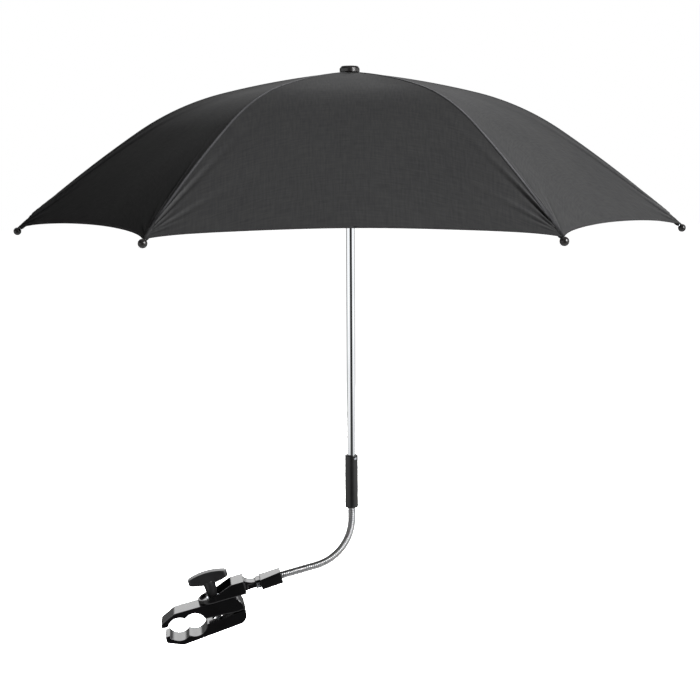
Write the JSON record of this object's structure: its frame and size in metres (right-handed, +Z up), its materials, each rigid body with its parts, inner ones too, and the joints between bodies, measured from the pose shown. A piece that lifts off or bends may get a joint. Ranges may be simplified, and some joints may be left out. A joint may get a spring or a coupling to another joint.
{
  "type": "pram parasol",
  "caption": "Pram parasol with a folding cloth canopy on a mast, a flexible gooseneck and a tube clamp with a hand knob.",
  "frame": {"origin": "centre of the clamp's outer bore lobe, halfway along the clamped tube", "axes": "+Y along the clamped tube, +X from the clamp to the mast, +Z up along the mast"},
  "size_m": [0.7454, 0.6906, 0.6447],
  "materials": {
    "gloss_black_abs": "moulded, gloss",
    "satin_black_nylon": "moulded, satin",
    "chromed_steel": "polished chrome",
    "ribbed_steel": "bright wound steel",
    "zinc_steel": "bright zinc plate",
    "black_cloth": "plain weave, water repellent",
    "gloss_ball": "moulded, gloss"
  },
  "bodies": {
    "clamp": {"upper_jaw": "gloss_black_abs", "jaw_hinge_pin": "zinc_steel"},
    "lower_jaw": {"lower_jaw": "gloss_black_abs"},
    "knob": {"clamp_knob": "gloss_black_abs", "clamp_screw": "zinc_steel"},
    "nut": {"clamp_nut": "zinc_steel"},
    "arm": {"arm_bracket": "gloss_black_abs", "screw_washer": "zinc_steel"},
    "plug": {"connector_neck": "gloss_black_abs", "neck_socket": "gloss_black_abs", "gooseneck_lower": "ribbed_steel"},
    "button": {"release_button": "zinc_steel"},
    "neck": {"gooseneck_middle": "ribbed_steel"},
    "mast": {"gooseneck_upper": "ribbed_steel", "mast_sleeve": "satin_black_nylon", "sleeve_pin": "zinc_steel", "mast": "chromed_steel", "top_crown": "satin_black_nylon", "crown_wire": "zinc_steel", "top_cap": "satin_black_nylon"},
    "catch": {"runner_catch": "zinc_steel"},
    "runner": {"runner": "satin_black_nylon"},
    "rib_1": {"rib_1": "zinc_steel", "rib_rivet_1": "zinc_steel", "rib_tip_1": "gloss_ball", "canopy_gore_1": "black_cloth"},
    "stretcher_1": {"stretcher_1": "zinc_steel"},
    "rib_2": {"rib_2": "zinc_steel", "rib_rivet_2": "zinc_steel", "rib_tip_2": "gloss_ball", "canopy_gore_2": "black_cloth"},
    "stretcher_2": {"stretcher_2": "zinc_steel"},
    "rib_3": {"rib_3": "zinc_steel", "rib_rivet_3": "zinc_steel", "rib_tip_3": "gloss_ball", "canopy_gore_3": "black_cloth"},
    "stretcher_3": {"stretcher_3": "zinc_steel"},
    "rib_4": {"rib_4": "zinc_steel", "rib_rivet_4": "zinc_steel", "rib_tip_4": "gloss_ball", "canopy_gore_4": "black_cloth"},
    "stretcher_4": {"stretcher_4": "zinc_steel"},
    "rib_5": {"rib_5": "zinc_steel", "rib_rivet_5": "zinc_steel", "rib_tip_5": "gloss_ball", "canopy_gore_5": "black_cloth"},
    "stretcher_5": {"stretcher_5": "zinc_steel"},
    "rib_6": {"rib_6": "zinc_steel", "rib_rivet_6": "zinc_steel", "rib_tip_6": "gloss_ball", "canopy_gore_6": "black_cloth"},
    "stretcher_6": {"stretcher_6": "zinc_steel"}
  },
  "joints": [
    {"name": "knob_turn", "type": "hinge", "parent": "clamp", "child": "knob", "pos_m": [0.03914, 0, 0.02903], "axis": [-0.2419, 0, 0.9703], "range_deg": [-1040, 1500]},
    {"name": "jaw_hinge", "type": "hinge", "parent": "clamp", "child": "lower_jaw", "pos_m": [0.06586, 0, 0.02106], "axis": [0, 1, 0], "range_deg": [-10.05, 7]},
    {"name": "nut_slide", "type": "slide", "parent": "clamp", "child": "nut", "axis": [-0.2419, 0, 0.9703], "range_m": [-0.00425, 0.00297]},
    {"name": "arm_swivel", "type": "hinge", "parent": "clamp", "child": "arm", "pos_m": [0.03914, 0, 0.02903], "axis": [-0.2419, 0, 0.9703], "continuous": true},
    {"name": "plug_pull", "type": "slide", "parent": "arm", "child": "plug", "axis": [0.9703, 0, 0.2419], "range_m": [0, 0.02]},
    {"name": "release_press", "type": "slide", "parent": "plug", "child": "button", "axis": [0, 1, 0], "range_m": [0, 0.0015], "stiffness_N_per_m": 800},
    {"name": "neck_bend", "type": "hinge", "parent": "plug", "child": "neck", "pos_m": [0.14199, 0, 0.06003], "axis": [0, 1, 0], "range_deg": [-45, 75], "deforming": ["gooseneck_lower"]},
    {"name": "neck_sway", "type": "hinge", "parent": "neck", "child": "mast", "pos_m": [0.19531, 0, 0.0995], "axis": [1, 0, 0], "range_deg": [-60, 60], "deforming": ["gooseneck_upper"]},
    {"name": "catch_press", "type": "slide", "parent": "mast", "child": "catch", "axis": [-0.8007, 0.599, 0], "range_m": [0, 0.0017], "stiffness_N_per_m": 600},
    {"name": "canopy_fold", "type": "hinge", "parent": "mast", "child": "rib_1", "pos_m": [0.20824, -0.00118, 0.61632], "axis": [0.1184, 0.993, 0], "range_deg": [0, 64], "deforming": ["canopy_gore_1", "canopy_gore_2", "canopy_gore_3", "canopy_gore_4", "canopy_gore_5", "canopy_gore_6"]},
    {"name": "rib_fold_2", "type": "hinge", "parent": "mast", "child": "rib_2", "pos_m": [0.2043, 0.00801, 0.61632], "axis": [-0.8007, 0.599, 0], "range_deg": [-0.5, 64.5]},
    {"name": "rib_fold_3", "type": "hinge", "parent": "mast", "child": "rib_3", "pos_m": [0.19437, 0.00919, 0.61632], "axis": [-0.9191, -0.3939, 0], "range_deg": [-0.5, 64.5]},
    {"name": "rib_fold_4", "type": "hinge", "parent": "mast", "child": "rib_4", "pos_m": [0.18838, 0.00118, 0.61632], "axis": [-0.1184, -0.993, 0], "range_deg": [-0.5, 64.5]},
    {"name": "rib_fold_5", "type": "hinge", "parent": "mast", "child": "rib_5", "pos_m": [0.19232, -0.00801, 0.61632], "axis": [0.8007, -0.599, 0], "range_deg": [-0.5, 64.5]},
    {"name": "rib_fold_6", "type": "hinge", "parent": "mast", "child": "rib_6", "pos_m": [0.20225, -0.00919, 0.61632], "axis": [0.9191, 0.3939, 0], "range_deg": [-0.5, 64.5]},
    {"name": "stretcher_fold_1", "type": "hinge", "parent": "rib_1", "child": "stretcher_1", "pos_m": [0.36215, -0.01954, 0.58702], "axis": [0.1184, 0.993, 0], "range_deg": [-129, 1]},
    {"name": "stretcher_fold_2", "type": "hinge", "parent": "rib_2", "child": "stretcher_2", "pos_m": [0.29715, 0.13212, 0.58702], "axis": [-0.8007, 0.599, 0], "range_deg": [-129, 1]},
    {"name": "stretcher_fold_3", "type": "hinge", "parent": "rib_3", "child": "stretcher_3", "pos_m": [0.13331, 0.15166, 0.58702], "axis": [-0.9191, -0.3939, 0], "range_deg": [-129, 1]},
    {"name": "stretcher_fold_4", "type": "hinge", "parent": "rib_4", "child": "stretcher_4", "pos_m": [0.03447, 0.01954, 0.58702], "axis": [-0.1184, -0.993, 0], "range_deg": [-129, 1]},
    {"name": "stretcher_fold_5", "type": "hinge", "parent": "rib_5", "child": "stretcher_5", "pos_m": [0.09947, -0.13212, 0.58702], "axis": [0.8007, -0.599, 0], "range_deg": [-129, 1]},
    {"name": "stretcher_fold_6", "type": "hinge", "parent": "rib_6", "child": "stretcher_6", "pos_m": [0.26331, -0.15166, 0.58702], "axis": [0.9191, 0.3939, 0], "range_deg": [-129, 1]},
    {"name": "runner_slide", "type": "slide", "parent": "mast", "child": "runner", "axis": [0, 0, -1], "range_m": [-0.001, 0.2468]}
  ],
  "couplings": [
    {"joint": "jaw_hinge", "follows": "knob_turn", "ratio": -0.0066315},
    {"joint": "nut_slide", "follows": "knob_turn", "m_per_rad": -0.00015915},
    {"joint": "rib_fold_2", "follows": "canopy_fold", "ratio": 1},
    {"joint": "rib_fold_3", "follows": "canopy_fold", "ratio": 1},
    {"joint": "rib_fold_4", "follows": "canopy_fold", "ratio": 1},
    {"joint": "rib_fold_5", "follows": "canopy_fold", "ratio": 1},
    {"joint": "rib_fold_6", "follows": "canopy_fold", "ratio": 1},
    {"joint": "stretcher_fold_1", "follows": "canopy_fold", "ratio": -2},
    {"joint": "stretcher_fold_2", "follows": "canopy_fold", "ratio": -2},
    {"joint": "stretcher_fold_3", "follows": "canopy_fold", "ratio": -2},
    {"joint": "stretcher_fold_4", "follows": "canopy_fold", "ratio": -2},
    {"joint": "stretcher_fold_5", "follows": "canopy_fold", "ratio": -2},
    {"joint": "stretcher_fold_6", "follows": "canopy_fold", "ratio": -2},
    {"joint": "runner_slide", "follows": "canopy_fold", "m_per_rad": 0.21998}
  ]
}
